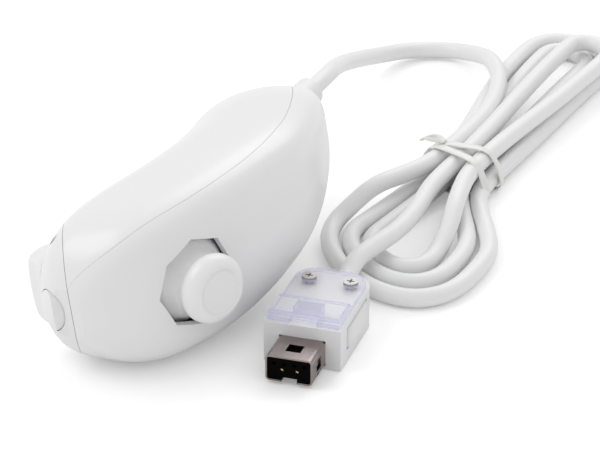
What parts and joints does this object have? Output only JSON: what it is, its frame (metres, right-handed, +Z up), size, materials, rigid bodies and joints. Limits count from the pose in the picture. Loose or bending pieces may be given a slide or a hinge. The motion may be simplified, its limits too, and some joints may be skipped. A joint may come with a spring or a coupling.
{
  "type": "one-handed motion game controller",
  "caption": "Curved one-handed game controller with a tilting stick, front button, trigger, tied cord and latching plug.",
  "frame": {"origin": "middle of the controller's footprint on the surface that it lies on, without its cord", "axes": "+X along the controller towards its cord, +Z up, stick on the -Y side"},
  "size_m": [0.2315, 0.0806, 0.0412],
  "materials": {
    "white_body": "satin",
    "white_inner": "matte",
    "black_plastic": "matte",
    "clear_cover": "clear",
    "steel": "brushed",
    "bright_steel": "polished",
    "gold_contact": "polished",
    "board_green": "matte",
    "cord_white": "satin",
    "tie_white": "matte"
  },
  "bodies": {
    "controller": {"upper_shell": "white_body", "lower_shell": "white_body", "front_plate": "white_body", "shell_screws": "bright_steel", "c_switch": "black_plastic", "button_board": "board_green", "button_screws": "bright_steel", "trigger_pin": "steel", "stick_housing": "white_inner", "stick_spring": "steel", "potentiometer_x": "black_plastic", "potentiometer_y": "black_plastic", "main_board": "board_green", "board_screws": "bright_steel", "cord_socket": "white_inner", "controller_chip": "black_plastic", "motion_sensor": "black_plastic", "z_switch": "black_plastic", "tail_grommet": "cord_white", "cable_tie": "black_plastic", "inner_cable": "cord_white", "cord_hank": "cord_white", "cord_lead": "cord_white", "cord_run": "cord_white", "twist_tie": "tie_white", "plug_base": "white_body", "plug_housing": "white_body", "plug_cover": "clear_cover", "plug_screws": "bright_steel", "plug_shell": "steel", "plug_insulator": "black_plastic", "plug_contacts": "gold_contact", "plug_latches": "steel", "plug_board": "board_green", "plug_grommet": "cord_white", "plug_cable": "cord_white"},
    "stick_carrier": {"stick_rocker_lower": "white_inner"},
    "stick": {"stick_shaft": "white_inner", "stick_dome": "white_body", "stick_cap": "white_body"},
    "stick_arch": {"stick_rocker_upper": "white_inner"},
    "front_button": {"c_button": "white_body"},
    "trigger": {"z_trigger": "white_body"},
    "latch_right": {"plug_lever_right": "white_body"},
    "latch_left": {"plug_lever_left": "white_body"}
  },
  "joints": [
    {"name": "stick_roll", "type": "hinge", "parent": "controller", "child": "stick_carrier", "pos_m": [-0.03197, -0.00354, 0.02029], "axis": [0.934, -0.3401, 0.1094], "range_deg": [-10, 10], "stiffness_Nm_per_rad": 0.03},
    {"name": "stick_pitch", "type": "hinge", "parent": "stick_carrier", "child": "stick", "pos_m": [-0.03197, -0.00354, 0.02029], "axis": [-0.078, 0.1045, 0.9915], "range_deg": [-10, 10], "stiffness_Nm_per_rad": 0.03},
    {"name": "arch_turn", "type": "hinge", "parent": "controller", "child": "stick_arch", "pos_m": [-0.03197, -0.00354, 0.02029], "axis": [-0.078, 0.1045, 0.9915], "range_deg": [-10.5, 10.5]},
    {"name": "button_press", "type": "slide", "parent": "controller", "child": "front_button", "axis": [0.8139, -0.5676, 0.1239], "range_m": [0, 0.001], "stiffness_N_per_m": 400},
    {"name": "trigger_pull", "type": "hinge", "parent": "controller", "child": "trigger", "pos_m": [-0.04782, 0.01442, 0.01715], "axis": [0.078, -0.1045, -0.9915], "range_deg": [0, 8], "stiffness_Nm_per_rad": 0.05},
    {"name": "latch_right_squeeze", "type": "hinge", "parent": "controller", "child": "latch_right", "pos_m": [-0.01652, -0.04204, 0.005], "axis": [0, 0, 1], "range_deg": [0, 3], "stiffness_Nm_per_rad": 0.1},
    {"name": "latch_left_squeeze", "type": "hinge", "parent": "controller", "child": "latch_left", "pos_m": [-0.01937, -0.0264, 0.005], "axis": [0, 0, -1], "range_deg": [0, 3], "stiffness_Nm_per_rad": 0.1}
  ],
  "couplings": [
    {"joint": "arch_turn", "follows": "stick_pitch", "ratio": 1}
  ]
}
